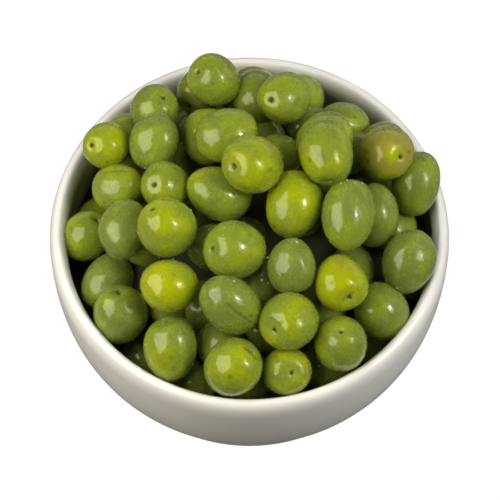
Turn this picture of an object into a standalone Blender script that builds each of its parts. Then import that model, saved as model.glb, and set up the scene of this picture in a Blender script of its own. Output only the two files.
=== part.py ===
"""A dish of green olives: a round glazed bowl, heaped above its rim with whole olives.

The bowl is one turned shell on a foot ring. The olives are one solid: a plain core
that fills the bowl, with every olive that shows fused onto it at its true size.
Origin: the middle of the foot, on the table. +Z is up and +Y points to the back.
"""

import math
from collections import namedtuple

import bmesh
import bpy
import numpy as np
from mathutils import Matrix, Vector

MM = 0.001

# The bowl.
WIDEST_RADIUS = 76.0 * MM
WIDEST_HEIGHT = 60.0 * MM
BOWL_HEIGHT = 68.0 * MM
RIM_RADIUS = 75.1 * MM
WALL = 4.6 * MM
UNDERSIDE_HEIGHT = 3.0 * MM
UNDERSIDE_RADIUS = 32.5 * MM
FLOOR_HEIGHT = 9.0 * MM
SIDE_POWER = 2 / 3.4
RISE_POWER = 2 / 2.5
FOOT_RADIUS = 62.4 * MM
FOOT_HEIGHT = 5.5 * MM
FOOT_TAPER = 0.7 * MM
FOOT_WIDTH = 5.0 * MM
FOOT_EDGE = 0.8 * MM
BOWL_TURNS = 40

# The heap, by the heights of its olives' middles over the table.
HEAP_MIDDLE = 86.0 * MM
HEAP_EDGE = 65.0 * MM
HEAP_RADIUS = 62.0 * MM
LOWER_LAYER = 15.0 * MM
CORE_BELOW = 14.0 * MM
CORE_TURNS = 24
CLEARANCE = 0.3 * MM
OLIVE_TURNS = 10
OLIVE_RINGS = 6
FACET_GROWTH = 1.02

# The olives beneath, in rings round the bowl's axis: radius, height and number.
DEEP_RINGS = [
    (0.0, 70.0 * MM, 1),
    (21.0 * MM, 70.0 * MM, 6),
    (41.0 * MM, 66.0 * MM, 12),
    (59.5 * MM, 53.0 * MM, 18),
]
DEEP_WIDTH = 19.0 * MM
DEEP_STRETCH = 1.15
DEEP_LEAN = 0.6
DEEP_ROOM = 0.45
DEEP_OFFSET = 0.37

# The photograph that the heap was read from: its eye and its middle, in pixels.
EYE_DISTANCE = 1.0
EYE_SLOPE = math.radians(63.76)
EYE_AIM = 34.0 * MM
FOCAL_PIXELS = 2561.8
MIDDLE_COLUMN = 249.5
MIDDLE_ROW = 265.4

# How closely olives may press together, and how they settle.
PRESSED = 0.86
WALL_PRESSED = 1.04
PUSH = 9.0 * MM
LONGEST_PUSH = 3.0 * MM
HOLD = 0.06
SETTLING_ROUNDS = 120

# Each olive by the pixel of its middle, its width in mm, how much longer it is than
# wide, the pixel of its tip, and whether that tip faces the eye (1) or not (-1).
# The deepest come first.
Olive = namedtuple("Olive", "column row width stretch tip_column tip_row facing")

LOWER_OLIVES = [
    Olive(250, 91, 19.0, 1.15, 270, 82, -1),
    Olive(299, 101, 19.0, 1.15, 308, 80, -1),
    Olive(310, 127, 17.2, 1.15, 330, 120, -1),
    Olive(343, 124, 17.2, 1.20, 366, 131, -1),
    Olive(381, 145, 18.3, 1.15, 400, 138, -1),
    Olive(353, 153, 16.4, 1.10, 340, 150, -1),
    Olive(198, 134, 17.0, 1.10, 180, 125, -1),
    Olive(264, 147, 18.5, 1.15, 262, 124, -1),
    Olive(317, 167, 18.0, 1.15, 318, 190, -1),
    Olive(362, 204, 17.0, 1.15, 362, 182, -1),
    Olive(392, 229, 17.2, 1.15, 412, 222, -1),
    Olive(351, 272, 18.2, 1.20, 352, 250, -1),
    Olive(215, 247, 19.0, 1.15, 200, 250, -1),
    Olive(148, 270, 18.0, 1.15, 150, 250, -1),
    Olive(258, 287, 18.0, 1.15, 262, 265, -1),
    Olive(203, 308, 18.0, 1.15, 200, 290, -1),
    Olive(222, 350, 18.8, 1.15, 215, 330, -1),
    Olive(325, 366, 18.2, 1.15, 310, 375, -1),
    Olive(373, 340, 17.0, 1.15, 360, 350, -1),
    Olive(252, 376, 17.5, 1.15, 250, 395, -1),
    Olive(125, 138, 18.0, 1.15, 140, 125, -1),
]

UPPER_OLIVES = [
    Olive(257, 97, 19.4, 1.15, 256, 73, -1),
    Olive(201, 90, 18.3, 1.12, 190, 108, 1),
    Olive(154, 111.5, 19.3, 1.12, 164, 99, 1),
    Olive(107.5, 145.5, 17.8, 1.10, 94, 147, 1),
    Olive(154.7, 142, 19.2, 1.16, 150, 171, -1),
    Olive(119.5, 187.5, 18.3, 1.13, 96, 190, -1),
    Olive(166, 186, 18.6, 1.12, 156, 185, 1),
    Olive(207, 137, 19.8, 1.17, 205, 108, -1),
    Olive(275, 158, 18.3, 1.10, 297, 155, -1),
    Olive(323.5, 140, 20.6, 1.10, 350, 130, -1),
    Olive(416, 183, 18.2, 1.35, 411, 214, -1),
    Olive(384.5, 153.5, 20.8, 1.06, 400.5, 158, 1),
    Olive(375.5, 214.5, 18.2, 1.36, 378, 246, -1),
    Olive(86.5, 235.5, 18.9, 1.08, 99, 219, 1),
    Olive(107, 283, 19.3, 1.22, 122, 262, -1),
    Olive(124, 230.5, 19.8, 1.15, 133, 205, -1),
    Olive(168.5, 286, 20.4, 1.07, 190, 290, -1),
    Olive(120.5, 315, 21.0, 1.16, 120, 292, 1),
    Olive(167, 227.5, 22.2, 1.08, 153.5, 209, 1),
    Olive(218, 193.5, 20.6, 1.26, 246, 206, -1),
    Olive(226, 136.5, 20.4, 1.20, 254, 125, -1),
    Olive(286, 371, 18.6, 1.15, 292, 371.5, 1),
    Olive(232, 367.5, 21.2, 1.10, 251, 352, 1),
    Olive(291, 320, 21.6, 1.06, 273.5, 330, 1),
    Olive(341, 344, 20.6, 1.16, 339, 331, 1),
    Olive(381, 311, 20.8, 1.12, 400, 330, -1),
    Olive(338.5, 282, 20.3, 1.10, 347, 296, 1),
    Olive(292, 265.5, 18.1, 1.16, 294, 292, -1),
    Olive(229.5, 303.5, 21.0, 1.24, 252, 320, -1),
    Olive(170.5, 350.5, 20.4, 1.20, 168, 321, 1),
    Olive(294, 206, 21.6, 1.21, 300, 174, -1),
    Olive(409, 260.5, 20.4, 1.22, 398, 290, -1),
    Olive(347, 216, 20.6, 1.34, 350, 181, -1),
    Olive(235.5, 249.5, 22.2, 1.12, 213.5, 249, 1),
    Olive(254.5, 164, 22.0, 1.18, 235, 168, 1),
    Olive(325.5, 151, 21.0, 1.20, 329, 181, 1),
    Olive(284, 98, 20.2, 1.10, 269.5, 102, 1),
    Olive(215, 81, 20.2, 1.08, 198, 73, 1),
]

OLIVES = LOWER_OLIVES + UPPER_OLIVES


def side_point(turn, base_height, inset):
    """A point of the bowl's side: turn runs from 0 underneath to 90 degrees at its widest."""
    reach = math.sin(turn) ** SIDE_POWER
    climb = 1 - math.cos(turn) ** RISE_POWER
    radius = UNDERSIDE_RADIUS - inset + (WIDEST_RADIUS - UNDERSIDE_RADIUS) * reach
    return radius, base_height + (WIDEST_HEIGHT - base_height) * climb


def inner_face(gap, points):
    """The inside of the bowl from the lip's top down to its floor, kept gap clear."""
    lip = WALL / 2
    lip_radius = RIM_RADIUS - lip
    face = []
    for step in range(4):
        turn = math.radians(90 + 30 * step)
        radius = lip_radius + (lip + gap) * math.cos(turn)
        face.append((radius, BOWL_HEIGHT - lip + (lip + gap) * math.sin(turn)))
    for step in range(points):
        turn = math.radians(88 - 83 * step / (points - 1))
        radius, height = side_point(turn, FLOOR_HEIGHT, WALL)
        face.append((radius - gap, height + gap))
    face.append((0.0, FLOOR_HEIGHT + gap))
    return face


def outer_face(gap, points):
    """The outside from the foot's outer edge up and over to the lip's top."""
    lip = WALL / 2
    lip_radius = RIM_RADIUS - lip
    face = []
    for step in range(points):
        turn = math.radians(36 + 54 * step / (points - 1))
        radius, height = side_point(turn, UNDERSIDE_HEIGHT, 0.0)
        face.append((radius + gap, height))
    for step in range(3):
        turn = math.radians(30 * step)
        radius = lip_radius + (lip + gap) * math.cos(turn)
        face.append((radius, BOWL_HEIGHT - lip + (lip + gap) * math.sin(turn)))
    return face


def bowl_profile():
    """The section of the bowl: its floor, up its inside, over the lip and down to its foot."""
    foot_inside = FOOT_RADIUS - FOOT_WIDTH
    under = [
        (0.0, UNDERSIDE_HEIGHT),
        (foot_inside - UNDERSIDE_HEIGHT, UNDERSIDE_HEIGHT),
        (foot_inside, FOOT_EDGE),
        (foot_inside + FOOT_EDGE, 0.0),
        (FOOT_RADIUS - FOOT_EDGE, 0.0),
        (FOOT_RADIUS, FOOT_EDGE),
        (FOOT_RADIUS - FOOT_TAPER, FOOT_HEIGHT),
        (FOOT_RADIUS - FOOT_TAPER / 2, FOOT_HEIGHT + 2 * FOOT_EDGE),
    ]
    section = under + outer_face(0.0, 9) + inner_face(0.0, 9)
    return section[::-1]


def core_profile():
    """The section of the core, from its crown out to the wall and down to the floor."""
    crown = []
    for step in range(8):
        radius = HEAP_RADIUS * step / 7
        crown.append((radius, heap_height(radius) - CORE_BELOW))
    edge_height = crown[-1][1]
    face = inner_face(CLEARANCE, 9)
    return crown + [point for point in face if point[1] < edge_height]


def clearance_profile():
    """A closed section round the bowl's wall, grown by the clearance, to trim the heap."""
    face = outer_face(CLEARANCE, 9) + inner_face(CLEARANCE, 9)
    face[-1] = (UNDERSIDE_RADIUS, FLOOR_HEIGHT - WALL)
    return face[::-1]


def collection(name):
    group = bpy.data.collections.new(name)
    bpy.context.scene.collection.children.link(group)
    return group


def mesh_object(name, mesh_builder, group):
    """A mesh object whose mesh is taken from a bmesh."""
    mesh = bpy.data.meshes.new(name)
    mesh_builder.to_mesh(mesh)
    mesh_builder.free()
    thing = bpy.data.objects.new(name, mesh)
    group.objects.link(thing)
    return thing


def turned(name, section, turns, group):
    """A section in the XZ plane, turned about Z with a Screw modifier."""
    line = bmesh.new()
    points = [line.verts.new((radius, 0.0, height)) for radius, height in section]
    for start, end in zip(points, points[1:]):
        line.edges.new((start, end))
    if section[0][0] > 0:
        line.edges.new((points[-1], points[0]))
    thing = mesh_object(name, line, group)
    screw = thing.modifiers.new("Turn", "SCREW")
    screw.axis = "Z"
    screw.steps = turns
    screw.render_steps = turns
    screw.use_merge_vertices = True
    screw.merge_threshold = 0.01 * MM
    return thing


def material(name, colour, roughness):
    finish = bpy.data.materials.new(name)
    finish.use_nodes = True
    shader = finish.node_tree.nodes["Principled BSDF"]
    shader.inputs["Base Color"].default_value = (*colour, 1.0)
    shader.inputs["Roughness"].default_value = roughness
    shader.inputs["Metallic"].default_value = 0.0
    return finish


def shade(thing, finish, sharp_angle):
    thing.data.materials.clear()
    thing.data.materials.append(finish)
    thing.data.shade_smooth()
    thing.data.set_sharp_from_angle(angle=math.radians(sharp_angle))


def heap_height(radius):
    """The height of the upper olives' middles at this distance from the bowl's axis."""
    share = min(1.0, radius / HEAP_RADIUS)
    return HEAP_MIDDLE - (HEAP_MIDDLE - HEAP_EDGE) * share ** 4


# The eye's own axes: right, up the picture, and back towards the eye.
RIGHT = np.array([1.0, 0.0, 0.0])
UP = np.array([0.0, math.sin(EYE_SLOPE), math.cos(EYE_SLOPE)])
BACK = np.array([0.0, -math.cos(EYE_SLOPE), math.sin(EYE_SLOPE)])
EYE = np.array([0.0, 0.0, EYE_AIM]) + BACK * EYE_DISTANCE


def sight_line(olive):
    """The direction from the eye to the middle of an olive."""
    across = RIGHT * (olive.column - MIDDLE_COLUMN)
    upward = UP * (MIDDLE_ROW - olive.row)
    line = across + upward - BACK * FOCAL_PIXELS
    return line / np.linalg.norm(line)


def long_axis(olive):
    """An olive's long axis, from where its tip shows."""
    scale = EYE_DISTANCE / FOCAL_PIXELS
    half_length = olive.width * olive.stretch * MM / 2
    across = (olive.tip_column - olive.column) * scale
    upward = (olive.row - olive.tip_row) * scale
    seen = math.hypot(across, upward)
    shrink = min(1.0, 0.98 * half_length / seen)
    depth = olive.facing * math.sqrt(half_length ** 2 - (seen * shrink) ** 2)
    axis = RIGHT * across * shrink + UP * upward * shrink + BACK * depth
    return axis / np.linalg.norm(axis)


def form_matrix(width, stretch, axis):
    """The ellipsoid of an olive as a matrix of squared half sizes."""
    extra = stretch ** 2 - 1
    return (width / 2) ** 2 * (np.eye(3) + extra * np.outer(axis, axis))


def closeness(first, second, offsets):
    """For pairs of ellipsoids: under 1 where they overlap, 1 where they just touch."""
    closest = np.zeros(len(offsets))
    for share in np.linspace(0.1, 0.9, 9):
        blend = (1 - share) * first + share * second
        solved = np.linalg.solve(blend, offsets[:, :, None])[:, :, 0]
        reached = share * (1 - share) * (offsets * solved).sum(axis=1)
        closest = np.maximum(closest, reached)
    return closest


def clears_wall(form, middle):
    """Whether an olive with this middle stands clear of the bowl's inside."""
    if math.hypot(middle[0], middle[1]) > RIM_RADIUS - WALL and middle[2] < BOWL_HEIGHT:
        return False
    bearing = math.atan2(middle[1], middle[0])
    nearest = math.inf
    for turn in np.radians([-24, -16, -8, 0, 8, 16, 24]):
        outward = np.array([math.cos(bearing + turn), math.sin(bearing + turn)])
        for radius, height in WALL_SECTION:
            offset = np.array([*(outward * radius), height]) - middle
            nearest = min(nearest, offset @ np.linalg.solve(form, offset))
    return nearest > WALL_PRESSED


WALL_SECTION = inner_face(0.0, 18)[:-4]


def resting_depth(line, drop):
    """How far down its sight line an olive meets the heap's rounded form."""
    near, far = (EYE[2] - np.array([0.15, 0.03])) / -line[2]
    for _ in range(40):
        depth = (near + far) / 2
        point = EYE + line * depth
        if point[2] > heap_height(math.hypot(point[0], point[1])) - drop:
            near = depth
        else:
            far = depth
    return near


def free_stretch(form, line, depth):
    """The stretch of a sight line, nearest to depth, where the wall leaves room."""
    steps = np.arange(-30, 21) * MM
    free = [clears_wall(form, EYE + line * (depth + step)) for step in steps]
    start = min((abs(step), place) for place, step in enumerate(steps) if free[place])[1]
    first = start
    while first > 0 and free[first - 1]:
        first -= 1
    last = start
    while last < len(steps) - 1 and free[last + 1]:
        last += 1
    return depth + steps[first], depth + steps[last]


def olive_forms():
    return np.array([form_matrix(o.width * MM, o.stretch, long_axis(o)) for o in OLIVES])


def settled_middles(forms):
    """Each olive's middle, on its sight line, pressed on its neighbours like the real heap.

    Of two that overlap the later one in the list is nearer to the eye. Both give way
    along their sight lines, and each is held back to the heap's rounded form."""
    lines = np.array([sight_line(olive) for olive in OLIVES])
    rest = np.zeros(len(OLIVES))
    nearest = np.zeros(len(OLIVES))
    farthest = np.zeros(len(OLIVES))
    for place, (line, form) in enumerate(zip(lines, forms)):
        drop = LOWER_LAYER if place < len(LOWER_OLIVES) else 0.0
        depth = resting_depth(line, drop)
        nearest[place], farthest[place] = free_stretch(form, line, depth)
        rest[place] = min(max(depth, nearest[place]), farthest[place])
    depths = rest.copy()
    behind, before = np.triu_indices(len(OLIVES), 1)
    for _ in range(SETTLING_ROUNDS):
        middles = EYE + lines * depths[:, None]
        reach = closeness(forms[behind], forms[before], middles[before] - middles[behind])
        push = PUSH * np.maximum(0.0, 1 - np.sqrt(reach / PRESSED))
        moves = np.zeros(len(OLIVES))
        np.add.at(moves, behind, push)
        np.subtract.at(moves, before, push)
        depths += np.clip(moves, -LONGEST_PUSH, LONGEST_PUSH) + (rest - depths) * HOLD
        depths = np.clip(depths, nearest, farthest)
    return EYE + lines * depths[:, None]


def make_bowl(group):
    bowl = turned("bowl", bowl_profile(), BOWL_TURNS, group)
    shade(bowl, material("cream_glaze", (0.86, 0.83, 0.74), 0.15), 40)
    return bowl


def make_olive(width, stretch, axis, middle, group):
    """One olive: a faceted ball, drawn out along its long axis."""
    radius = width / 2 * FACET_GROWTH
    ball = bmesh.new()
    bmesh.ops.create_uvsphere(ball, u_segments=OLIVE_TURNS, v_segments=OLIVE_RINGS, radius=radius)
    turn = Vector(axis).to_track_quat("Z", "Y").to_matrix().to_4x4()
    shape = Matrix.Translation(middle) @ turn @ Matrix.Diagonal((1, 1, stretch, 1))
    bmesh.ops.transform(ball, matrix=shape, verts=ball.verts)
    return mesh_object("olive", ball, group)


def make_deep_rings(forms, middles, group):
    """The olives beneath, side by side in rings, where the listed ones leave room."""
    for radius, height, count in DEEP_RINGS:
        for place in range(count):
            bearing = math.tau * (place + DEEP_OFFSET) / count
            outward = np.array([math.cos(bearing), math.sin(bearing), 0.0])
            lean = DEEP_LEAN * (-1) ** place
            axis = np.array([-outward[1], outward[0], lean])
            axis /= np.linalg.norm(axis)
            middle = outward * radius + np.array([0.0, 0.0, height])
            form = form_matrix(DEEP_WIDTH, DEEP_STRETCH, axis)
            if closeness(forms, form, middles - middle).min() > DEEP_ROOM:
                make_olive(DEEP_WIDTH, DEEP_STRETCH, axis, middle, group)


def baked(thing):
    """Put a thing's evaluated mesh in place of its mesh and modifiers."""
    depsgraph = bpy.context.evaluated_depsgraph_get()
    mesh = bpy.data.meshes.new_from_object(thing.evaluated_get(depsgraph))
    thing.modifiers.clear()
    thing.data = mesh


def boolean(thing, operation, group, solver):
    """Join a thing with, or cut it by, every object of a collection."""
    step = thing.modifiers.new(operation.title(), "BOOLEAN")
    step.operation = operation
    step.operand_type = "COLLECTION"
    step.collection = group
    step.solver = solver
    baked(thing)
    for tool in list(group.objects):
        bpy.data.objects.remove(tool)


def keep_outer_body(thing):
    """Drop loose scraps, and fill hollows that the fusing sealed."""
    body = bmesh.new()
    body.from_mesh(thing.data)
    left = set(body.faces)
    pieces = []
    while left:
        piece = {left.pop()}
        edge_of_piece = list(piece)
        while edge_of_piece:
            face = edge_of_piece.pop()
            for edge in face.edges:
                for neighbour in edge.link_faces:
                    if neighbour in left:
                        left.remove(neighbour)
                        piece.add(neighbour)
                        edge_of_piece.append(neighbour)
        pieces.append(piece)
    largest = max(pieces, key=len)
    extra = [face for piece in pieces if piece is not largest for face in piece]
    bmesh.ops.delete(body, geom=extra, context="FACES")
    loose = [vertex for vertex in body.verts if not vertex.link_faces]
    bmesh.ops.delete(body, geom=loose, context="VERTS")
    body.to_mesh(thing.data)
    body.free()


def make_olives(group):
    heap = turned("olives", core_profile(), CORE_TURNS, group)
    baked(heap)
    pieces = collection("olive_pieces")
    forms = olive_forms()
    middles = settled_middles(forms)
    for olive, middle in zip(OLIVES, middles):
        make_olive(olive.width * MM, olive.stretch, long_axis(olive), middle, pieces)
    make_deep_rings(forms, middles, pieces)
    boolean(heap, "UNION", pieces, "EXACT")
    trimmers = collection("trimmers")
    baked(turned("wall_trimmer", clearance_profile(), BOWL_TURNS, trimmers))
    boolean(heap, "DIFFERENCE", trimmers, "MANIFOLD")
    keep_outer_body(heap)
    shade(heap, material("olive_skin", (0.26, 0.32, 0.04), 0.2), 50)
    return heap


for old in list(bpy.data.objects):
    bpy.data.objects.remove(old)

dish = collection("dish_of_olives")
make_bowl(dish)
make_olives(dish)
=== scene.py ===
"""The looks of a dish of green olives: a cream glazed bowl, heaped with wet whole olives."""

import math
import random
from collections import namedtuple

import bmesh
import bpy
import numpy as np
from mathutils import Matrix, Vector, noise
from mathutils.bvhtree import BVHTree


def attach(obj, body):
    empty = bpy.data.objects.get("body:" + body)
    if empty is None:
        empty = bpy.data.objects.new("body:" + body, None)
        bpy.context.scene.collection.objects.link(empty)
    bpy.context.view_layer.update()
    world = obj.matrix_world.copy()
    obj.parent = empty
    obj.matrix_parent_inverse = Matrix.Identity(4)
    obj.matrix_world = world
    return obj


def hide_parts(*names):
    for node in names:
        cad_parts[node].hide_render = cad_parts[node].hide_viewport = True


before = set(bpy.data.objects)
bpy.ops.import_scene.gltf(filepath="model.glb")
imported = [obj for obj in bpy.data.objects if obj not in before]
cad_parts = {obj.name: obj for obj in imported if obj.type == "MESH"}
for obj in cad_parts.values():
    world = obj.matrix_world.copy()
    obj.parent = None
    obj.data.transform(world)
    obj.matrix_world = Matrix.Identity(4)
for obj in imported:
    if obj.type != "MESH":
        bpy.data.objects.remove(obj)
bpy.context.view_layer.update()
MM = 0.001

# The camera stands a metre off and looks steeply down into the dish, as the photograph
# was taken. Its lens gives the photograph's scale at the middle of the bowl.
IMAGE_PIXELS = 500
EYE_DISTANCE = 1.0
EYE_SLOPE = math.radians(63.76)
EYE_AIM = 34.0 * MM
FOCAL_PIXELS = 2561.8
MIDDLE_COLUMN = 249.5
MIDDLE_ROW = 265.4
SENSOR = 36.0

RIGHT = np.array([1.0, 0.0, 0.0])
UP = np.array([0.0, math.sin(EYE_SLOPE), math.cos(EYE_SLOPE)])
BACK = np.array([0.0, -math.cos(EYE_SLOPE), math.sin(EYE_SLOPE)])
EYE = np.array([0.0, 0.0, EYE_AIM]) + BACK * EYE_DISTANCE

lens = bpy.data.cameras.new("camera")
lens.sensor_width = SENSOR
lens.lens = FOCAL_PIXELS / IMAGE_PIXELS * SENSOR
lens.shift_x = (IMAGE_PIXELS / 2 - MIDDLE_COLUMN) / IMAGE_PIXELS
lens.shift_y = (MIDDLE_ROW - IMAGE_PIXELS / 2) / IMAGE_PIXELS
lens.clip_start = 0.01
camera = bpy.data.objects.new("camera", lens)
camera.matrix_world = Matrix.Translation(EYE) @ Matrix(np.array([RIGHT, UP, BACK]).T).to_4x4()
bpy.context.collection.objects.link(camera)
bpy.context.scene.camera = camera
bpy.context.scene.view_settings.view_transform = "Standard"

# The studio: one large five-sided window light from the left, whose shape shows in every
# wet skin, a narrow bright lamp and a soft panel from the right, a soft ceiling light, and
# a dim room with a pale backdrop that only glossy skins and glaze mirror.
# The window's corners are where a round olive a radius wide mirrors them, right and up.
WINDOW_MIRRORED = [(-0.53, 0.28), (-0.18, 0.31), (-0.14, -0.10), (-0.34, -0.28), (-0.58, 0.04)]
WINDOW_DISTANCE = 0.42
WINDOW_COLOUR = (1.0, 0.965, 0.88)
WINDOW_GLOW = 4.1
LAMP_MIRRORED = (0.37, 0.05)
LAMP_DISTANCE = 1.0
LAMP_RADIUS = 0.45
LAMP_TILT = math.radians(-25)
LAMP_NARROWING = 1.6
LAMP_CORE, LAMP_CORE_SPREAD = 60.0, 0.055
LAMP_HALO, LAMP_HALO_SPREAD = 7.4, 0.25
PANEL_TOWARDS = (0.82, 0.22, 0.52)
PANEL_DISTANCE = 0.9
PANEL_SIZE = (0.5, 0.9)
PANEL_WATTS = 4.7
CEILING_TOWARDS = (0.05, 0.75, 0.75)
CEILING_WATTS = 1.9
ROOM_COLOUR = (1.0, 0.99, 0.96)
ROOM_GLOW = 0.045
BACKDROP_WAY = (0.45, 0.89, 0.0)
BACKDROP_GLOW = 0.9
BACKDROP_SIDES = (0.1, 0.8)
BACKDROP_HEIGHTS = (0.5, 0.0)
FLOOR_SIZE = 12.0
FLOOR_COLOUR = (0.95, 0.95, 0.95)
FLOOR_MIRRORED = 0.12
FLOOR_BOUNCE = (0.095, 0.090, 0.080)


def mirrored(across, upward):
    """The way, right, up and back, that a round skin sends the sight line at this place."""
    nearer = math.sqrt(1 - across ** 2 - upward ** 2)
    way = RIGHT * across * nearer + UP * upward * nearer + BACK * (nearer ** 2 - 0.5)
    return Vector(way).normalized()


def looking_in(away, distance, tilt=0.0):
    """A place that far off, turned to look at the dish."""
    place = Matrix.Translation(Vector((0, 0, EYE_AIM)) + away * distance)
    turn = away.to_track_quat("Z", "Y").to_matrix().to_4x4()
    return place @ turn @ Matrix.Rotation(tilt, 4, "Z")


corner_ways = [mirrored(*corner) for corner in WINDOW_MIRRORED]
window_way = sum(corner_ways, Vector()).normalized()
window_place = looking_in(window_way, WINDOW_DISTANCE)
window_mesh = bmesh.new()
window_corners = []
for way in corner_ways:
    corner = Vector((0, 0, EYE_AIM)) + way * (WINDOW_DISTANCE / way.dot(window_way))
    window_corners.append(window_mesh.verts.new(window_place.inverted() @ corner))
window_mesh.faces.new(window_corners)
window_data = bpy.data.meshes.new("window_light")
window_mesh.to_mesh(window_data)
window_mesh.free()
window_glow = bpy.data.materials.new("window_glow")
window_glow.use_nodes = True
window_nodes = window_glow.node_tree.nodes
window_nodes.clear()
glow = window_nodes.new("ShaderNodeEmission")
glow.inputs["Color"].default_value = (*WINDOW_COLOUR, 1)
glow.inputs["Strength"].default_value = WINDOW_GLOW
window_output = window_nodes.new("ShaderNodeOutputMaterial")
window_glow.node_tree.links.new(glow.outputs[0], window_output.inputs["Surface"])
window_data.materials.append(window_glow)
window = bpy.data.objects.new("window_light", window_data)
window.matrix_world = window_place
window.visible_camera = False
window.visible_shadow = False
bpy.context.collection.objects.link(window)

lamp_mesh = bmesh.new()
bmesh.ops.create_circle(lamp_mesh, cap_ends=True, segments=48, radius=LAMP_RADIUS)
lamp_data = bpy.data.meshes.new("lamp")
lamp_mesh.to_mesh(lamp_data)
lamp_mesh.free()
lamp_glow = bpy.data.materials.new("lamp_glow")
lamp_glow.use_nodes = True
lamp_nodes = lamp_glow.node_tree.nodes
lamp_links = lamp_glow.node_tree.links
lamp_nodes.clear()
lamp_place = lamp_nodes.new("ShaderNodeTexCoord")
lamp_shape = lamp_nodes.new("ShaderNodeVectorMath")
lamp_shape.operation = "MULTIPLY"
lamp_shape.inputs[1].default_value = (LAMP_NARROWING, 1.0, 0.0)
lamp_reach = lamp_nodes.new("ShaderNodeVectorMath")
lamp_reach.operation = "LENGTH"
lamp_links.new(lamp_place.outputs["Object"], lamp_shape.inputs[0])
lamp_links.new(lamp_shape.outputs["Vector"], lamp_reach.inputs[0])


def lamp_math(operation, first, second):
    node = lamp_nodes.new("ShaderNodeMath")
    node.operation = operation
    for socket, value in zip(node.inputs, (first, second)):
        if isinstance(value, (int, float)):
            socket.default_value = value
        else:
            lamp_links.new(value, socket)
    return node.outputs[0]


def fading(strength, spread):
    """A glow that fades from the lamp's middle like a bell curve."""
    share = lamp_math("DIVIDE", lamp_reach.outputs["Value"], spread)
    fall = lamp_math("MULTIPLY", lamp_math("MULTIPLY", share, share), -1.0)
    return lamp_math("MULTIPLY", lamp_math("EXPONENT", fall, 0.0), strength)


lamp_emission = lamp_nodes.new("ShaderNodeEmission")
lamp_strength = lamp_math(
    "ADD", fading(LAMP_CORE, LAMP_CORE_SPREAD), fading(LAMP_HALO, LAMP_HALO_SPREAD)
)
lamp_links.new(lamp_strength, lamp_emission.inputs["Strength"])
lamp_output = lamp_nodes.new("ShaderNodeOutputMaterial")
lamp_links.new(lamp_emission.outputs[0], lamp_output.inputs["Surface"])
lamp_data.materials.append(lamp_glow)
lamp = bpy.data.objects.new("lamp", lamp_data)
lamp.matrix_world = looking_in(mirrored(*LAMP_MIRRORED), LAMP_DISTANCE, LAMP_TILT)
lamp.visible_camera = False
lamp.visible_shadow = False
bpy.context.collection.objects.link(lamp)

for name, (across, upward, nearer), watts in (
    ("panel", PANEL_TOWARDS, PANEL_WATTS),
    ("ceiling", CEILING_TOWARDS, CEILING_WATTS),
):
    panel_data = bpy.data.lights.new(name, "AREA")
    panel_data.shape = "RECTANGLE"
    panel_data.size, panel_data.size_y = PANEL_SIZE
    panel_data.energy = watts
    panel = bpy.data.objects.new(name, panel_data)
    panel_way = Vector(RIGHT * across + UP * upward + BACK * nearer).normalized()
    panel.matrix_world = looking_in(panel_way, PANEL_DISTANCE)
    panel.visible_glossy = False
    bpy.context.collection.objects.link(panel)

room = bpy.data.worlds.new("room")
room.use_nodes = True
room.node_tree.nodes["Background"].inputs["Color"].default_value = (*ROOM_COLOUR, 1)
room_nodes = room.node_tree.nodes
room_links = room.node_tree.links
room_way = room_nodes.new("ShaderNodeTexCoord")
room_split = room_nodes.new("ShaderNodeSeparateXYZ")
room_links.new(room_way.outputs["Generated"], room_split.inputs[0])
towards = room_nodes.new("ShaderNodeVectorMath")
towards.operation = "DOT_PRODUCT"
towards.inputs[1].default_value = BACKDROP_WAY
room_links.new(room_way.outputs["Generated"], towards.inputs[0])
room_path = room_nodes.new("ShaderNodeLightPath")


def room_fade(value, low, high):
    node = room_nodes.new("ShaderNodeMapRange")
    node.inputs["From Min"].default_value = low
    node.inputs["From Max"].default_value = high
    room_links.new(value, node.inputs["Value"])
    return node.outputs["Result"]


def room_product(first, second):
    node = room_nodes.new("ShaderNodeMath")
    node.operation = "MULTIPLY"
    room_links.new(first, node.inputs[0])
    room_links.new(second, node.inputs[1])
    return node.outputs[0]


backdrop_here = room_product(
    room_fade(towards.outputs["Value"], *BACKDROP_SIDES),
    room_fade(room_split.outputs["Z"], *BACKDROP_HEIGHTS),
)
backdrop_here = room_product(backdrop_here, room_path.outputs["Is Glossy Ray"])
room_glow = room_nodes.new("ShaderNodeMath")
room_glow.operation = "MULTIPLY_ADD"
room_glow.inputs[1].default_value = BACKDROP_GLOW
room_glow.inputs[2].default_value = ROOM_GLOW
room_links.new(backdrop_here, room_glow.inputs[0])
room_links.new(room_glow.outputs[0], room_nodes["Background"].inputs["Strength"])
bpy.context.scene.world = room

# The floor is a sheet of white paper, lit from behind, that shows white from above. It
# throws little light back on the bowl, and mirrors faintly in it.
floor_mesh = bmesh.new()
bmesh.ops.create_grid(floor_mesh, x_segments=1, y_segments=1, size=FLOOR_SIZE / 2)
floor_data = bpy.data.meshes.new("floor")
floor_mesh.to_mesh(floor_data)
floor_mesh.free()
floor_finish = bpy.data.materials.new("floor_paper")
floor_finish.use_nodes = True
paper = floor_finish.node_tree.nodes["Principled BSDF"]
paper.inputs["Roughness"].default_value = 0.9
paper.inputs["Specular IOR Level"].default_value = 0.0
paper.inputs["Emission Color"].default_value = (*FLOOR_COLOUR, 1)
paper.inputs["Base Color"].default_value = (*FLOOR_BOUNCE, 1)
light_path = floor_finish.node_tree.nodes.new("ShaderNodeLightPath")
paper_glow = floor_finish.node_tree.nodes.new("ShaderNodeMath")
paper_glow.operation = "MULTIPLY_ADD"
paper_glow.inputs[1].default_value = FLOOR_MIRRORED
floor_finish.node_tree.links.new(light_path.outputs["Is Glossy Ray"], paper_glow.inputs[0])
floor_finish.node_tree.links.new(light_path.outputs["Is Camera Ray"], paper_glow.inputs[2])
floor_finish.node_tree.links.new(paper_glow.outputs[0], paper.inputs["Emission Strength"])
floor_data.materials.append(floor_finish)
floor = bpy.data.objects.new("floor", floor_data)
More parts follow.
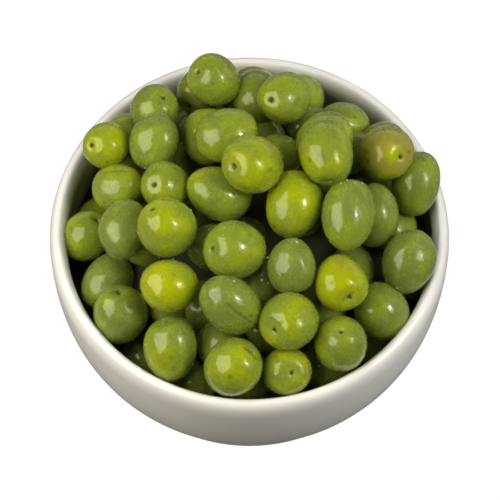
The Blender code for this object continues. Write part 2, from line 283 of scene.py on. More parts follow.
bpy.context.collection.objects.link(floor)

# The bowl: one piece of stoneware turned on a wheel, with a rounded lip, a full belly and
# a low foot ring, under a cream glaze that turns warmer in random patches.
WIDEST_RADIUS = 76.0 * MM
WIDEST_HEIGHT = 60.0 * MM
BOWL_HEIGHT = 68.0 * MM
RIM_RADIUS = 75.1 * MM
WALL = 4.6 * MM
UNDERSIDE_HEIGHT = 3.0 * MM
UNDERSIDE_RADIUS = 32.5 * MM
BOWL_FLOOR = 9.0 * MM
SIDE_POWER = 2 / 3.4
RISE_POWER = 2 / 2.5
FOOT_RADIUS = 62.4 * MM
FOOT_HEIGHT = 5.5 * MM
FOOT_TAPER = 0.7 * MM
FOOT_WIDTH = 5.0 * MM
FOOT_EDGE = 0.8 * MM
LIP_STEPS = 16
LIP_OUTSIDE = 3.5 * MM
LIP_DROP = 8.0 * MM
LIP_ROUNDNESS = 0.8
LIP_SLOPE = 1.0
LIP_INSIDE = 3.0 * MM
LIP_DEPTH = 8.0 * MM
THICKENING = 2.0 * MM
SIDE_STEPS = 44
BOWL_TURNS = 180
WELD = 0.01 * MM
GLAZE_COLOUR = (0.750, 0.735, 0.680)
GLAZE_WARM = (0.725, 0.690, 0.600)
GLAZE_ROUGHNESS = 0.22


def bowl_side(turn, base_height, inset):
    """A point of the bowl's side: turn runs from 0 underneath to 90 degrees at its widest."""
    reach = math.sin(turn) ** SIDE_POWER
    climb = 1 - math.cos(turn) ** RISE_POWER
    radius = UNDERSIDE_RADIUS - inset + (WIDEST_RADIUS - UNDERSIDE_RADIUS) * reach
    return radius, base_height + (WIDEST_HEIGHT - base_height) * climb


def bowl_inside(points):
    """The inside of the bowl, from the lip's inner edge down to its floor."""
    face = []
    for step in range(points):
        turn = math.radians(88 - 84 * step / (points - 1))
        radius, height = bowl_side(turn, BOWL_FLOOR, WALL)
        face.append((radius - THICKENING * (height / WIDEST_HEIGHT) ** 4, height))
    return face


def bowl_section():
    """The section of the bowl from the middle of its underside out, up, over and in."""
    foot_inside = FOOT_RADIUS - FOOT_WIDTH
    foot_top = FOOT_RADIUS - FOOT_TAPER
    section = [
        (0.0, UNDERSIDE_HEIGHT),
        (foot_inside - UNDERSIDE_HEIGHT, UNDERSIDE_HEIGHT),
        (foot_inside - FOOT_EDGE, UNDERSIDE_HEIGHT - FOOT_EDGE),
        (foot_inside, FOOT_EDGE),
        (foot_inside + FOOT_EDGE / 3, FOOT_EDGE / 3),
        (foot_inside + FOOT_EDGE, 0.0),
        (FOOT_RADIUS - FOOT_EDGE, 0.0),
        (FOOT_RADIUS - FOOT_EDGE / 3, FOOT_EDGE / 3),
        (FOOT_RADIUS, FOOT_EDGE),
        (foot_top, FOOT_HEIGHT - FOOT_EDGE),
        (foot_top, FOOT_HEIGHT + FOOT_EDGE),
        (foot_top + FOOT_TAPER / 2, FOOT_HEIGHT + 3 * FOOT_EDGE),
    ]
    for step in range(SIDE_STEPS):
        turn = math.radians(36 + 54 * step / (SIDE_STEPS - 1))
        section.append(bowl_side(turn, UNDERSIDE_HEIGHT, 0.0))
    for step in range(2 * LIP_STEPS + 1):
        turn = math.pi * step / (2 * LIP_STEPS)
        is_outside = step < LIP_STEPS
        reach = LIP_OUTSIDE if is_outside else -LIP_INSIDE
        drop = LIP_DROP if is_outside else LIP_DEPTH
        power = LIP_ROUNDNESS if is_outside else LIP_SLOPE
        radius = WIDEST_RADIUS - LIP_OUTSIDE + reach * abs(math.cos(turn)) ** power
        section.append((radius, BOWL_HEIGHT - drop + drop * math.sin(turn)))
    return section + bowl_inside(SIDE_STEPS) + [(0.0, BOWL_FLOOR)]


def turned(section, turns):
    """A section turned once round the bowl's axis, as on a wheel."""
    body = bmesh.new()
    points = [body.verts.new((radius, 0, height)) for radius, height in section]
    edges = [body.edges.new(pair) for pair in zip(points, points[1:])]
    bmesh.ops.spin(
        body,
        geom=points + edges,
        cent=(0, 0, 0),
        axis=(0, 0, 1),
        angle=math.tau,
        steps=turns,
        use_merge=True,
    )
    bmesh.ops.remove_doubles(body, verts=body.verts, dist=WELD)
    bmesh.ops.recalc_face_normals(body, faces=body.faces)
    return body


bowl_mesh = turned(bowl_section(), BOWL_TURNS)
bowl_data = bpy.data.meshes.new("glazed_bowl")
bowl_mesh.to_mesh(bowl_data)
bowl_mesh.free()
bowl_data.shade_smooth()

glaze = bpy.data.materials.new("cream_glaze")
glaze.use_nodes = True
glaze_nodes = glaze.node_tree.nodes
glaze_links = glaze.node_tree.links
glaze_shader = glaze_nodes["Principled BSDF"]
glaze_shader.inputs["Roughness"].default_value = GLAZE_ROUGHNESS
glaze_shader.inputs["Specular IOR Level"].default_value = 0.3
glaze_shader.inputs["Coat Weight"].default_value = 0.2
glaze_shader.inputs["Coat Roughness"].default_value = 0.08
glaze_place = glaze_nodes.new("ShaderNodeTexCoord")
glaze_cloud = glaze_nodes.new("ShaderNodeTexNoise")
glaze_cloud.inputs["Scale"].default_value = 45.0
glaze_cloud.inputs["Detail"].default_value = 4.0
glaze_mix = glaze_nodes.new("ShaderNodeMix")
glaze_mix.data_type = "RGBA"
glaze_mix.inputs["A"].default_value = (*GLAZE_COLOUR, 1)
glaze_mix.inputs["B"].default_value = (*GLAZE_WARM, 1)
glaze_range = glaze_nodes.new("ShaderNodeMapRange")
glaze_range.inputs["From Min"].default_value = 0.45
glaze_range.inputs["From Max"].default_value = 0.9
glaze_ripple = glaze_nodes.new("ShaderNodeTexNoise")
glaze_ripple.inputs["Scale"].default_value = 60.0
glaze_bump = glaze_nodes.new("ShaderNodeBump")
glaze_bump.inputs["Strength"].default_value = 0.25
glaze_bump.inputs["Distance"].default_value = 0.3 * MM
glaze_links.new(glaze_place.outputs["Object"], glaze_cloud.inputs["Vector"])
glaze_links.new(glaze_cloud.outputs["Fac"], glaze_range.inputs["Value"])
glaze_links.new(glaze_range.outputs["Result"], glaze_mix.inputs["Factor"])
glaze_links.new(glaze_mix.outputs["Result"], glaze_shader.inputs["Base Color"])
glaze_links.new(glaze_place.outputs["Object"], glaze_ripple.inputs["Vector"])
glaze_links.new(glaze_ripple.outputs["Fac"], glaze_bump.inputs["Height"])
glaze_links.new(glaze_bump.outputs["Normal"], glaze_shader.inputs["Normal"])
bowl_data.materials.append(glaze)
bowl = bpy.data.objects.new("glazed_bowl", bowl_data)
bpy.context.collection.objects.link(bowl)
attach(bowl, "root")
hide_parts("bowl")

# The places of the olives: each is listed where it shows, and slides down its sight line
# until it presses on its neighbours, on the bowl's wall and on the heap's rounded form.
HEAP_MIDDLE = 86.0 * MM
HEAP_EDGE = 65.0 * MM
HEAP_RADIUS = 62.0 * MM
LOWER_LAYER = 15.0 * MM
PRESSED = 0.86
WALL_PRESSED = 1.04
PUSH = 9.0 * MM
LONGEST_PUSH = 3.0 * MM
HOLD = 0.06
SETTLING_ROUNDS = 120
HIGHEST_REST, LOWEST_REST = 150.0 * MM, 30.0 * MM
HALVINGS = 40

# Each olive by the pixel of its middle, its width in mm, how much longer it is than wide,
# the pixel of its stem end, whether that end faces the camera (1) or not (-1), and how
# yellow its skin is, from 0, grey green, to 1, bright yellow green. The deepest come first.
# Some have a deeper or shallower dimple than most, and some a fold in the skin: the pixel of
# its middle, its slant in degrees and its reach in parts of the olive's size.
Olive = namedtuple(
    "Olive",
    "column row width stretch tip_column tip_row facing yellow dimple fold",
    defaults=(1.0, None),
)

LOWER_OLIVES = [
    Olive(250, 91, 19.0, 1.15, 270, 82, -1, 0.45),
    Olive(299, 101, 19.0, 1.15, 308, 80, -1, 0.55),
    Olive(310, 127, 17.2, 1.15, 330, 120, -1, 0.10),
    Olive(343, 124, 17.2, 1.20, 366, 131, -1, 0.40),
    Olive(381, 145, 18.3, 1.15, 400, 138, -1, 0.15),
    Olive(353, 153, 16.4, 1.10, 340, 150, -1, 0.10),
    Olive(198, 134, 17.0, 1.10, 180, 125, -1, 0.40),
    Olive(264, 147, 18.5, 1.15, 262, 124, -1, 0.35),
    Olive(317, 167, 18.0, 1.15, 318, 190, -1, 0.20),
    Olive(362, 204, 17.0, 1.15, 362, 182, -1, 0.20),
    Olive(392, 229, 17.2, 1.15, 412, 222, -1, 0.50),
    Olive(351, 272, 18.2, 1.20, 352, 250, -1, 0.20),
    Olive(215, 247, 19.0, 1.15, 200, 250, -1, 0.20),
    Olive(143, 243, 18.0, 1.15, 150, 250, -1, 0.20),
    Olive(258, 287, 18.0, 1.15, 262, 265, -1, 0.20),
    Olive(203, 306, 18.0, 1.15, 200, 290, -1, 0.15),
    Olive(221, 345, 18.8, 1.15, 215, 330, -1, 0.20),
    Olive(325, 366, 18.2, 1.15, 310, 375, -1, 0.20),
    Olive(373, 340, 17.0, 1.15, 360, 350, -1, 0.20),
    Olive(252, 376, 17.5, 1.15, 250, 395, -1, 0.20),
    Olive(125, 138, 18.0, 1.15, 140, 125, -1, 0.45),
]

UPPER_OLIVES = [
    Olive(257, 97, 19.4, 1.15, 256, 73, -1, 0.30),
    Olive(201, 90, 18.3, 1.12, 190, 108, 1, 0.30),
    Olive(154, 111.5, 19.3, 1.12, 164, 99, 1, 0.35),
    Olive(107.5, 145.5, 17.8, 1.10, 92.5, 147, 1, 0.95, 0.6),
    Olive(154.7, 142, 19.2, 1.16, 150, 171, -1, 0.35),
    Olive(119.5, 187.5, 18.3, 1.13, 96, 190, -1, 0.55, 1.0, (121, 170, -4, 0.5)),
    Olive(166, 186, 18.6, 1.12, 155, 185, 1, 0.70, 0.65),
    Olive(207, 137, 19.8, 1.17, 205, 108, -1, 0.50),
    Olive(275, 158, 18.3, 1.10, 297, 155, -1, 0.60),
    Olive(323.5, 140, 20.6, 1.10, 350, 130, -1, 0.55),
    Olive(416, 183, 18.2, 1.35, 411, 214, -1, 0.35),
    Olive(384.5, 153.5, 20.8, 1.06, 400.5, 158, 1, 1.42, 1.2),
    Olive(375.5, 214.5, 18.2, 1.36, 378, 246, -1, 0.10),
    Olive(86.5, 235.5, 18.9, 1.08, 99, 219, 1, 0.65, 0.8),
    Olive(107, 283, 19.3, 1.22, 122, 262, -1, 0.25),
    Olive(124, 230.5, 19.8, 1.15, 133, 205, -1, 0.05),
    Olive(168.5, 286, 20.4, 1.07, 190, 290, -1, 0.90),
    Olive(120.5, 315, 21.0, 1.16, 120, 292, 1, 0.30, 0.8, (118, 290, 15, 0.35)),
    Olive(167, 227.5, 22.2, 1.08, 153.5, 209, 1, 0.68, 0.8),
    Olive(218, 193.5, 20.6, 1.26, 246, 206, -1, 0.55),
    Olive(226, 136.5, 20.4, 1.20, 254, 125, -1, 0.45),
    Olive(286, 371, 18.6, 1.15, 292, 371.5, 1, 0.65, 1.35),
    Olive(232, 367.5, 21.2, 1.10, 251, 352, 1, 0.62, 0.9, (250, 353, -42, 0.5)),
    Olive(291, 320, 21.6, 1.06, 273.5, 330, 1, 0.65, 1.15),
    Olive(341, 344, 20.6, 1.16, 339, 331, 1, 0.55, 0.75),
    Olive(381, 311, 20.8, 1.12, 400, 330, -1, 0.35),
    Olive(338.5, 282, 20.3, 1.10, 347, 296, 1, 1.00, 1.0, (347, 295, 35, 0.34)),
    Olive(292, 265.5, 18.1, 1.16, 294, 292, -1, 0.05),
    Olive(229.5, 303.5, 21.0, 1.24, 252, 320, -1, 0.12, 1.0, (239, 313, -38, 0.8)),
    Olive(170.5, 350.5, 20.4, 1.20, 168, 321, 1, 0.55, 1.6),
    Olive(294, 206, 21.6, 1.21, 300, 174, -1, 0.75),
    Olive(409, 260.5, 20.4, 1.22, 398, 290, -1, 0.10),
    Olive(347, 216, 20.6, 1.34, 350, 181, -1, 0.35),
    Olive(235.5, 249.5, 22.2, 1.12, 213.5, 249, 1, 0.65),
    Olive(254.5, 164, 22.0, 1.18, 235, 168, 1, 0.70),
    Olive(325.5, 151, 21.0, 1.20, 329, 181, 1, 0.55),
    Olive(284, 98, 20.2, 1.10, 269.5, 102, 1, 0.55, 0.7),
    Olive(215, 81, 19.8, 1.08, 198, 73, 1, 0.55),
]

OLIVES = LOWER_OLIVES + UPPER_OLIVES


def heap_height(radius):
    """The height of the upper olives' middles at this distance from the bowl's axis."""
    share = min(1.0, radius / HEAP_RADIUS)
    return HEAP_MIDDLE - (HEAP_MIDDLE - HEAP_EDGE) * share ** 4


def sight_line(column, row):
    """The direction from the eye through a pixel of the photograph."""
    across = RIGHT * (column - MIDDLE_COLUMN)
    upward = UP * (MIDDLE_ROW - row)
    line = across + upward - BACK * FOCAL_PIXELS
    return line / np.linalg.norm(line)


def long_axis(olive):
    """An olive's long axis, from where its stem end shows."""
    scale = EYE_DISTANCE / FOCAL_PIXELS
    half_length = olive.width * olive.stretch * MM / 2
    across = (olive.tip_column - olive.column) * scale
    upward = (olive.row - olive.tip_row) * scale
    seen = math.hypot(across, upward)
    shrink = min(1.0, 0.98 * half_length / seen)
    depth = olive.facing * math.sqrt(half_length ** 2 - (seen * shrink) ** 2)
    axis = RIGHT * across * shrink + UP * upward * shrink + BACK * depth
    return axis / np.linalg.norm(axis)


def form_matrix(width, stretch, axis):
    """The ellipsoid of an olive as a matrix of squared half sizes."""
    extra = stretch ** 2 - 1
    return (width / 2) ** 2 * (np.eye(3) + extra * np.outer(axis, axis))


def closeness(first, second, offsets):
    """For pairs of ellipsoids: under 1 where they overlap, 1 where they just touch."""
    closest = np.zeros(len(offsets))
    for share in np.linspace(0.1, 0.9, 9):
        blend = (1 - share) * first + share * second
        solved = np.linalg.solve(blend, offsets[:, :, None])[:, :, 0]
        reached = share * (1 - share) * (offsets * solved).sum(axis=1)
        closest = np.maximum(closest, reached)
    return closest


def lip_and_wall():
    """Points down the inside of the bowl, from the lip's top, for the olives to lean on."""
    lip = WALL / 2
    face = []
    for step in range(4):
        turn = math.radians(90 + 30 * step)
        radius = RIM_RADIUS - lip + lip * math.cos(turn)
        face.append((radius, BOWL_HEIGHT - lip + lip * math.sin(turn)))
    for step in range(15):
        turn = math.radians(88 - 83 * step / 17)
        face.append(bowl_side(turn, BOWL_FLOOR, WALL))
    return face


def clears_wall(form, middle):
    """Whether an olive with this middle stands clear of the bowl's inside."""
    if math.hypot(middle[0], middle[1]) > RIM_RADIUS - WALL and middle[2] < BOWL_HEIGHT:
        return False
    bearing = math.atan2(middle[1], middle[0])
    nearest = math.inf
    for turn in np.radians([-24, -16, -8, 0, 8, 16, 24]):
        outward = np.array([math.cos(bearing + turn), math.sin(bearing + turn)])
        for radius, height in WALL_SECTION:
            offset = np.array([*(outward * radius), height]) - middle
            nearest = min(nearest, offset @ np.linalg.solve(form, offset))
    return nearest > WALL_PRESSED


WALL_SECTION = lip_and_wall()


def resting_depth(line, drop):
    """How far down its sight line an olive meets the heap's rounded form."""
    near, far = (EYE[2] - np.array([HIGHEST_REST, LOWEST_REST])) / -line[2]
    for _ in range(HALVINGS):
        depth = (near + far) / 2
        point = EYE + line * depth
        if point[2] > heap_height(math.hypot(point[0], point[1])) - drop:
            near = depth
        else:
            far = depth
    return near


def free_stretch(form, line, depth):
    """The stretch of a sight line, nearest to depth, where the wall leaves room."""
    steps = np.arange(-30, 21) * MM
    free = [clears_wall(form, EYE + line * (depth + step)) for step in steps]
    start = min((abs(step), place) for place, step in enumerate(steps) if free[place])[1]
    first = start
    while first > 0 and free[first - 1]:
        first -= 1
    last = start
    while last < len(steps) - 1 and free[last + 1]:
        last += 1
    return depth + steps[first], depth + steps[last]


def settled_middles(forms):
    """Each olive's middle, on its sight line, pressed on its neighbours like the real heap.

    Of two that overlap the later one in the list is nearer to the eye. Both give way
    along their sight lines, and each is held back to the heap's rounded form."""
    lines = np.array([sight_line(olive.column, olive.row) for olive in OLIVES])
    rest = np.zeros(len(OLIVES))
    nearest = np.zeros(len(OLIVES))
    farthest = np.zeros(len(OLIVES))
    for place, (line, form) in enumerate(zip(lines, forms)):
        drop = LOWER_LAYER if place < len(LOWER_OLIVES) else 0.0
        depth = resting_depth(line, drop)
        nearest[place], farthest[place] = free_stretch(form, line, depth)
        rest[place] = min(max(depth, nearest[place]), farthest[place])
    depths = rest.copy()
    behind, before = np.triu_indices(len(OLIVES), 1)
    for _ in range(SETTLING_ROUNDS):
        middles = EYE + lines * depths[:, None]
        reach = closeness(forms[behind], forms[before], middles[before] - middles[behind])
        push = PUSH * np.maximum(0.0, 1 - np.sqrt(reach / PRESSED))
        moves = np.zeros(len(OLIVES))
        np.add.at(moves, behind, push)
        np.subtract.at(moves, before, push)
        depths += np.clip(moves, -LONGEST_PUSH, LONGEST_PUSH) + (rest - depths) * HOLD
        depths = np.clip(depths, nearest, farthest)
    return EYE + lines * depths[:, None]


# The olives: smooth, firm fruit of uneven egg shapes. The stem end has a shallow dimple
# with a dark scar in it, the other end a faint point, and some skins a shallow fold.
DIMPLE_RADIUS = 0.34
DIMPLE_DEPTH = 0.13
SCAR_RADIUS = 0.09
SCAR_DEPTH = 0.085
POINT_RADIUS = 0.16
POINT_HEIGHT = 0.02
LUMP_SIZE = 0.038
PLUMPNESS = 0.985
FINE_TURNS, FINE_RINGS = 60, 40
COARSE_TURNS, COARSE_RINGS = 36, 24
RING_CROWDING = 1.35
SEED = 7

# The olives beneath, in rings round the bowl's axis: radius, height and number.
DEEP_RINGS = [
    (0.0, 70.0 * MM, 1),
    (21.0 * MM, 70.0 * MM, 6),
    (41.0 * MM, 66.0 * MM, 12),
    (59.5 * MM, 53.0 * MM, 18),
]
DEEP_SINK = 7.0 * MM
DEEP_YELLOW = (0.1, 0.5)

# Where one can look past the olives into the dark, in pixels, those beneath lie deeper.
OPEN_GAPS = [
    (82, 200),
    (117, 120),
    (300, 240),
    (262, 262),
    (235, 225),
    (140, 360),
    (205, 285),
    (255, 338),
    (157, 318),
]
GAP_REACH = 16.0
GAP_SINK = 13.0 * MM
DEEP_WIDTH = 19.0
DEEP_STRETCH = 1.15
DEEP_LEAN = 0.6
DEEP_ROOM = 0.45
DEEP_OFFSET = 0.37

# An olive without a fold has its fold far off its skin.
NO_FOLD = (9.0, 9.0, 9.0), (0.0, 0.0, 1.0), 1.0
FOLD_STEP = 3.0


def olive_ball(turns, rings):
    """A ball whose rings crowd towards its stem end, as a mesh."""
    ball = bmesh.new()
    bmesh.ops.create_uvsphere(ball, u_segments=turns, v_segments=rings, radius=1.0)
    for vertex in ball.verts:
        angle = math.acos(max(-1.0, min(1.0, vertex.co.z)))
        crowded = math.pi * (angle / math.pi) ** RING_CROWDING
        spread = Vector((vertex.co.x, vertex.co.y, 0))
        if spread.length > 1e-6:
            spread.normalize()
        vertex.co = spread * math.sin(crowded) + Vector((0, 0, math.cos(crowded)))
    mesh = bpy.data.meshes.new("olive_ball")
    ball.to_mesh(mesh)
    ball.free()
    return mesh


def olive_shape(points, depth, chance):
    """Shape unit ball points into an olive: egg form, soft lumps, dimple, scar and point."""
    x, y, z = points.T
    aside = np.hypot(x, y)
    swell = np.ones(len(points))
    for _ in range(5):
        way = np.array([chance.gauss(0, 1) for _ in range(3)])
        way /= np.linalg.norm(way)
        swell += LUMP_SIZE * chance.uniform(0.3, 1) * np.sin(
            chance.uniform(1.5, 3.2) * (points @ way) + chance.uniform(0, math.tau)
        )
    egg = chance.uniform(-0.05, 0.06)
    dimple = depth * chance.uniform(0.85, 1.15)
    near_stem = z > 0
    hollow = DIMPLE_DEPTH * dimple * np.exp(-((aside / (DIMPLE_RADIUS * dimple)) ** 2))
    torn = np.hypot(x, y * chance.uniform(1.0, 1.7))
    scar = SCAR_DEPTH * chance.uniform(0.6, 1.2) * np.exp(-((torn / SCAR_RADIUS) ** 4))
    nose = POINT_HEIGHT * chance.uniform(0, 1.6) * np.exp(-((aside / POINT_RADIUS) ** 2))
    length = swell - near_stem * (hollow + scar) + ~near_stem * nose
    width = swell * (1 + egg * z)
    shape = np.column_stack([x * width, y * width, z * length])
    low, high = shape.min(axis=0), shape.max(axis=0)
    return (shape - (low + high) / 2) / ((high - low) / 2) * PLUMPNESS


def skin_hit(sizes, middle, column, row):
    """Where a sight line meets an olive, as a place on its unit ball."""
    to_ball = np.linalg.inv(sizes)
    start = (EYE - middle) @ to_ball
    way = sight_line(column, row) @ to_ball
    way /= np.linalg.norm(way)
    nearest = start @ way
    inside = max(0.0, nearest ** 2 - start @ start + 1)
    hit = start - way * (nearest + math.sqrt(inside))
    return hit / np.linalg.norm(hit)


def add_olive(batch, ball, olive, axis, middle, chance):
    """Add one olive to a batch, with its skin's own place, ripeness and seed on each point."""
    start = len(batch.verts)
    batch.from_mesh(ball)
    batch.verts.ensure_lookup_table()
    fresh = batch.verts[start:]
    points = np.array([vertex.co for vertex in fresh])
    across = np.cross(axis, BACK)
    across /= np.linalg.norm(across)
    turn = chance.uniform(0, math.tau)
    side = across * math.cos(turn) + np.cross(axis, across) * math.sin(turn)
    sizes = np.array([side, np.cross(axis, side), axis * olive.stretch]) * olive.width * MM / 2
    placed = middle + olive_shape(points, olive.dimple, chance) @ sizes
    fold_middle, fold_way, fold_reach = NO_FOLD
    if olive.fold:
        column, row, slant, fold_reach = olive.fold
        fold_middle = skin_hit(sizes, middle, column, row)
        column += FOLD_STEP * math.cos(math.radians(slant))
        row -= FOLD_STEP * math.sin(math.radians(slant))
        fold_way = np.cross(fold_middle, skin_hit(sizes, middle, column, row))
        fold_way /= np.linalg.norm(fold_way)
    own_values = {
        "ripeness": olive.yellow,
        "seed": chance.random(),
        "fold_middle": fold_middle,
        "fold_way": fold_way,
        "fold_reach": fold_reach,
    }
    layers = batch.verts.layers
    for name, value in own_values.items():
        kind = layers.float if isinstance(value, float) else layers.float_vector
        for vertex in fresh:
            vertex[kind[name]] = value
    skin = layers.float_vector["skin_place"]
    for vertex, place, point in zip(fresh, placed, points):
        vertex.co = place
        vertex[skin] = point


def seen_near(point, column, row):
    """Whether a point shows within the reach of a gap at this pixel."""
    away = point - EYE
    scale = FOCAL_PIXELS / -(away @ BACK)
    seen = MIDDLE_COLUMN + (away @ RIGHT) * scale, MIDDLE_ROW - (away @ UP) * scale
    return math.dist(seen, (column, row)) < GAP_REACH


def new_batch():
    """An empty mesh with the layers that the olive skin reads."""
    batch = bmesh.new()
    for name in ("skin_place", "fold_middle", "fold_way"):
        batch.verts.layers.float_vector.new(name)
    for name in ("ripeness", "seed", "fold_reach"):
        batch.verts.layers.float.new(name)
    return batch


def finish_batch(name, batch, finish):
    """Make a batch into one smooth piece that stands in for the heap's node."""
    mesh = bpy.data.meshes.new(name)
    batch.to_mesh(mesh)
    batch.free()
    mesh.shade_smooth()
    mesh.materials.append(finish)
    piece = bpy.data.objects.new(name, mesh)
    bpy.context.collection.objects.link(piece)
    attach(piece, "root")
    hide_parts("olives")
    return piece


# The olive skin: waxy, wet and mottled. A grey bloom clouds it in patches, fine pale dots
# cover it, a few darker spots show, and the scar at the stem is brown. The pale ring round
# the scar is partly the skin's own paler colour and partly a painted highlight.
GREY_GREEN = (0.145, 0.186, 0.036)
MID_GREEN = (0.190, 0.240, 0.023)
YELLOW_GREEN = (0.295, 0.335, 0.0012)
BLOOM_GREEN = (0.260, 0.315, 0.085)
SPOT_GREEN = (0.135, 0.175, 0.004)
DOT_GREEN = (0.420, 0.480, 0.190)
SCAR_BROWN = (0.040, 0.044, 0.008)
WAX_ON_GREEN = (1.0, 1.0, 0.85)
WAX_ON_YELLOW = (1.0, 0.95, 0.12)
BROWN_GREEN = (0.250, 0.225, 0.050)
FOLD_DEPTH = 3.0
NOISE_LOW, NOISE_HIGH = 0.3, 0.7
SEED_STEPS = {"X": 37.0, "Y": 91.0, "Z": 53.0}

olive_skin = bpy.data.materials.new("olive_skin")
olive_skin.use_nodes = True
skin_nodes = olive_skin.node_tree.nodes
skin_links = olive_skin.node_tree.links
skin_shader = skin_nodes["Principled BSDF"]
skin_shader.inputs["IOR"].default_value = 1.45
skin_shader.inputs["Specular IOR Level"].default_value = 0.32
skin_shader.inputs["Coat Weight"].default_value = 1.0
skin_shader.inputs["Sheen Weight"].default_value = 0.06
skin_shader.inputs["Sheen Roughness"].default_value = 0.35
skin_shader.inputs["Sheen Tint"].default_value = (0.95, 1.0, 0.72, 1)
skin_shader.inputs["Coat IOR"].default_value = 1.37
skin_shader.inputs["Coat Tint"].default_value = (1.0, 1.0, 0.72, 1)
skin_shader.inputs["Subsurface Weight"].default_value = 0.12
skin_shader.inputs["Subsurface Radius"].default_value = (1.0, 0.9, 0.15)
skin_shader.inputs["Subsurface Scale"].default_value = 1.5 * MM


def skin_node(kind, **settings):
    node = skin_nodes.new(kind)
    for key, value in settings.items():
        setattr(node, key, value)
    return node


def skin_attribute(name, output):
    return skin_node("ShaderNodeAttribute", attribute_name=name).outputs[output]


def skin_math(operation, first, second, clamp=False):
    node = skin_node("ShaderNodeMath", operation=operation, use_clamp=clamp)
    for socket, value in zip(node.inputs, (first, second)):
        if isinstance(value, (int, float)):
            socket.default_value = value
        else:
            skin_links.new(value, socket)
    return node.outputs[0]


def skin_range(value, low, high, to_low=0.0, to_high=1.0):
    node = skin_node("ShaderNodeMapRange", interpolation_type="SMOOTHSTEP")
    skin_links.new(value, node.inputs["Value"])
    node.inputs["From Min"].default_value = low
    node.inputs["From Max"].default_value = high
    node.inputs["To Min"].default_value = to_low
    node.inputs["To Max"].default_value = to_high
    return node.outputs["Result"]


def skin_vary(noise_value, low, high):
    """A noise spread out to run from low to high."""
    return skin_range(noise_value, NOISE_LOW, NOISE_HIGH, low, high)


def skin_blend(share, first, second):
    node = skin_node("ShaderNodeMix", data_type="RGBA")
    skin_links.new(share, node.inputs["Factor"])
    for key, colour in (("A", first), ("B", second)):
        if isinstance(colour, tuple):
            node.inputs[key].default_value = (*colour, 1)
        else:
            skin_links.new(colour, node.inputs[key])
    return node.outputs["Result"]


place_on_skin = skin_attribute("skin_place", "Vector")
ripeness = skin_attribute("ripeness", "Fac")
own_seed = skin_attribute("seed", "Fac")
shifted = skin_node("ShaderNodeVectorMath", operation="ADD")
seed_offset = skin_node("ShaderNodeCombineXYZ")
for axis_name, factor in SEED_STEPS.items():
    skin_links.new(skin_math("MULTIPLY", own_seed, factor), seed_offset.inputs[axis_name])
skin_links.new(place_on_skin, shifted.inputs[0])
skin_links.new(seed_offset.outputs[0], shifted.inputs[1])
own_place = shifted.outputs["Vector"]


def skin_noise(scale, detail, roughness=0.5):
    node = skin_node("ShaderNodeTexNoise")
    node.inputs["Scale"].default_value = scale
    node.inputs["Detail"].default_value = detail
    node.inputs["Roughness"].default_value = roughness
    skin_links.new(own_place, node.inputs["Vector"])
    return node.outputs["Fac"]


broad = skin_noise(0.9, 1.0)
cloudy = skin_noise(2.2, 3.0)
mottle = skin_noise(9.0, 4.0, 0.65)
grain = skin_noise(34.0, 2.0)
ripe_here = skin_math("ADD", ripeness, skin_vary(broad, -0.26, 0.26))
ripe_here = skin_math("ADD", ripe_here, skin_vary(cloudy, -0.10, 0.10))
ripe_here = skin_math("ADD", ripe_here, skin_vary(mottle, -0.09, 0.09))
colour = skin_blend(skin_range(ripe_here, 0.1, 0.6), GREY_GREEN, MID_GREEN)
colour = skin_blend(skin_range(ripe_here, 0.5, 1.15), colour, YELLOW_GREEN)
colour = skin_blend(skin_range(ripe_here, 1.15, 1.4), colour, BROWN_GREEN)
wax = skin_blend(skin_range(ripe_here, 0.3, 1.0), WAX_ON_GREEN, WAX_ON_YELLOW)
skin_links.new(wax, skin_shader.inputs["Specular Tint"])
bloom = skin_math("MULTIPLY", skin_range(cloudy, 0.42, 0.75), skin_vary(mottle, 0.0, 1.0))
bloom = skin_math("MULTIPLY", bloom, skin_range(ripe_here, 0.9, 0.1, 0.03, 0.75))
colour = skin_blend(bloom, colour, BLOOM_GREEN)

pale_dots = skin_node("ShaderNodeTexVoronoi")
pale_dots.inputs["Scale"].default_value = 9.0
skin_links.new(own_place, pale_dots.inputs["Vector"])
pale_chance = skin_node("ShaderNodeSeparateColor")
skin_links.new(pale_dots.outputs["Color"], pale_chance.inputs[0])
pale_here = skin_math(
    "MULTIPLY",
    skin_range(pale_dots.outputs["Distance"], 0.24, 0.12, 0.0, 0.6),
    skin_math("GREATER_THAN", pale_chance.outputs[0], 0.5),
)
colour = skin_blend(pale_here, colour, DOT_GREEN)
dark_spots = skin_node("ShaderNodeTexVoronoi")
dark_spots.inputs["Scale"].default_value = 2.3
skin_links.new(own_place, dark_spots.inputs["Vector"])
spot_chance = skin_node("ShaderNodeSeparateColor")
skin_links.new(dark_spots.outputs["Color"], spot_chance.inputs[0])
spot_here = skin_math(
    "MULTIPLY",
    skin_range(dark_spots.outputs["Distance"], 0.24, 0.15, 0.0, 0.85),
    skin_math("GREATER_THAN", spot_chance.outputs[0], 0.62),
)
colour = skin_blend(spot_here, colour, SPOT_GREEN)

split_place = skin_node("ShaderNodeSeparateXYZ")
skin_links.new(place_on_skin, split_place.inputs[0])
from_stem = skin_math(
    "SQRT",
    skin_math(
        "ADD",
        skin_math("POWER", split_place.outputs["X"], 2.0),
        skin_math("POWER", split_place.outputs["Y"], 2.0),
    ),
    0.0,
)
stem_side = skin_math("GREATER_THAN", split_place.outputs["Z"], 0.0)
ragged = skin_math("ADD", from_stem, skin_vary(mottle, -0.03, 0.03))
scar_here = skin_math("MULTIPLY", skin_range(ragged, 0.14, 0.03), stem_side)
# A pale ring round the scar: partly the skin's own paler colour, partly a painted highlight.
stem_ring_painted_highlight = skin_math("MULTIPLY", skin_range(ragged, 0.26, 0.08, 0.0, 0.35), stem_side)
colour = skin_blend(stem_ring_painted_highlight, colour, BLOOM_GREEN)
colour = skin_blend(scar_here, colour, SCAR_BROWN)

